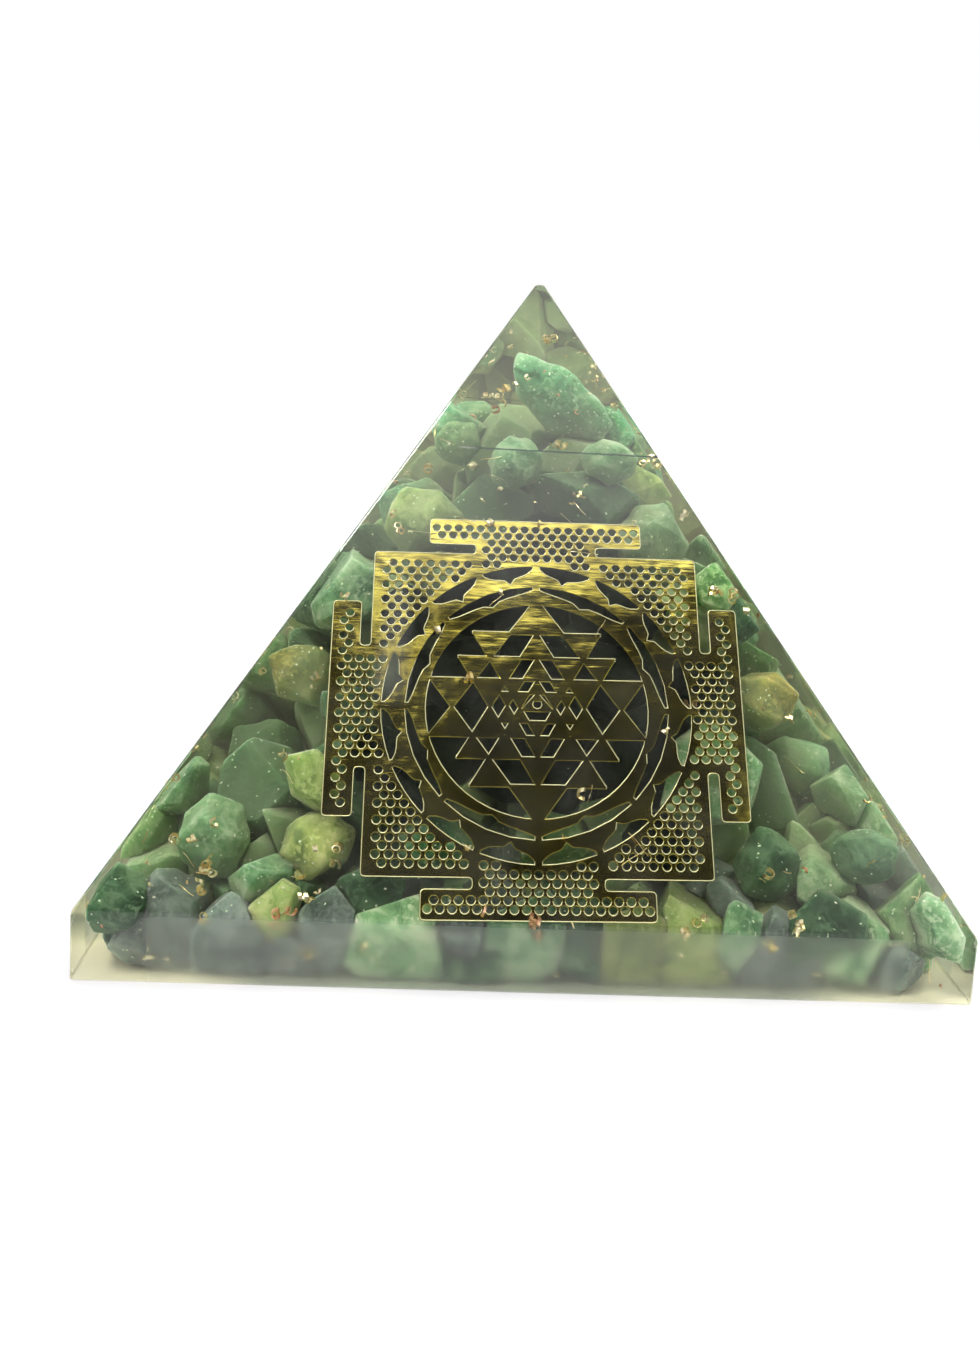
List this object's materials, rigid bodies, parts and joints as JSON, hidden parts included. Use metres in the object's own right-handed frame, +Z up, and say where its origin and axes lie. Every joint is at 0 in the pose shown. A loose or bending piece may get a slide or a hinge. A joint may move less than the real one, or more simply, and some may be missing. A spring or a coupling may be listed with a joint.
{
  "type": "shri yantra pyramid",
  "caption": "Clear resin pyramid holding a pierced brass shri yantra plate under its front face, green stone chips and metal turnings.",
  "frame": {"origin": "middle of the underside", "axes": "+Z up to the tip, -Y out of the front face that the plate lies under"},
  "size_m": [0.0716, 0.0716, 0.0557],
  "materials": {
    "clear_resin": "clear cast resin, polished",
    "plate_brass": "etched and brushed, thin bright rims",
    "turning_brass": "bright swarf",
    "turning_copper": "bright copper swarf",
    "aventurine_teal": "tumbled, translucent, with mica sparkle",
    "aventurine_sea": "tumbled, translucent, with mica sparkle",
    "aventurine_green": "tumbled, translucent, with mica sparkle",
    "aventurine_dark": "tumbled, translucent, with mica sparkle",
    "aventurine_olive": "tumbled, translucent, with mica sparkle",
    "aventurine_lime": "tumbled, translucent, with mica sparkle"
  },
  "bodies": {
    "root": {"base_pour": "clear_resin", "lower_pour": "clear_resin", "middle_pour": "clear_resin", "upper_pour": "clear_resin", "tip_pour": "clear_resin", "shri_yantra_plate": "plate_brass", "aventurine_chip_1": "aventurine_teal", "aventurine_chip_2": "aventurine_sea", "aventurine_chip_3": "aventurine_green", "aventurine_chip_4": "aventurine_sea", "aventurine_chip_5": "aventurine_teal", "aventurine_chip_6": "aventurine_green", "aventurine_chip_7": "aventurine_lime", "aventurine_chip_8": "aventurine_dark", "aventurine_chip_9": "aventurine_sea", "aventurine_chip_10": "aventurine_teal", "aventurine_chip_11": "aventurine_olive", "aventurine_chip_12": "aventurine_green", "aventurine_chip_13": "aventurine_sea", "aventurine_chip_14": "aventurine_green", "aventurine_chip_15": "aventurine_teal", "aventurine_chip_16": "aventurine_olive", "aventurine_chip_17": "aventurine_dark", "aventurine_chip_18": "aventurine_dark", "aventurine_chip_19": "aventurine_olive", "aventurine_chip_20": "aventurine_green", "aventurine_chip_21": "aventurine_teal", "aventurine_chip_22": "aventurine_dark", "aventurine_chip_23": "aventurine_sea", "aventurine_chip_24": "aventurine_lime", "aventurine_chip_25": "aventurine_teal", "aventurine_chip_26": "aventurine_olive", "aventurine_chip_27": "aventurine_green", "aventurine_chip_28": "aventurine_sea", "aventurine_chip_29": "aventurine_lime", "aventurine_chip_30": "aventurine_teal", "aventurine_chip_31": "aventurine_green", "aventurine_chip_32": "aventurine_dark", "aventurine_chip_33": "aventurine_dark", "aventurine_chip_34": "aventurine_dark", "aventurine_chip_35": "aventurine_teal", "aventurine_chip_36": "aventurine_dark", "aventurine_chip_37": "aventurine_olive", "aventurine_chip_38": "aventurine_green", "aventurine_chip_39": "aventurine_green", "aventurine_chip_40": "aventurine_dark", "aventurine_chip_41": "aventurine_teal", "aventurine_chip_42": "aventurine_sea", "aventurine_chip_43": "aventurine_teal", "aventurine_chip_44": "aventurine_olive", "aventurine_chip_45": "aventurine_sea", "aventurine_chip_46": "aventurine_green", "aventurine_chip_47": "aventurine_lime", "metal_turning_1": "turning_brass", "metal_turning_2": "turning_copper", "metal_turning_3": "turning_brass", "metal_turning_4": "turning_brass", "metal_turning_5": "turning_brass", "metal_turning_6": "turning_copper", "metal_turning_7": "turning_brass"}
  },
  "joints": []
}
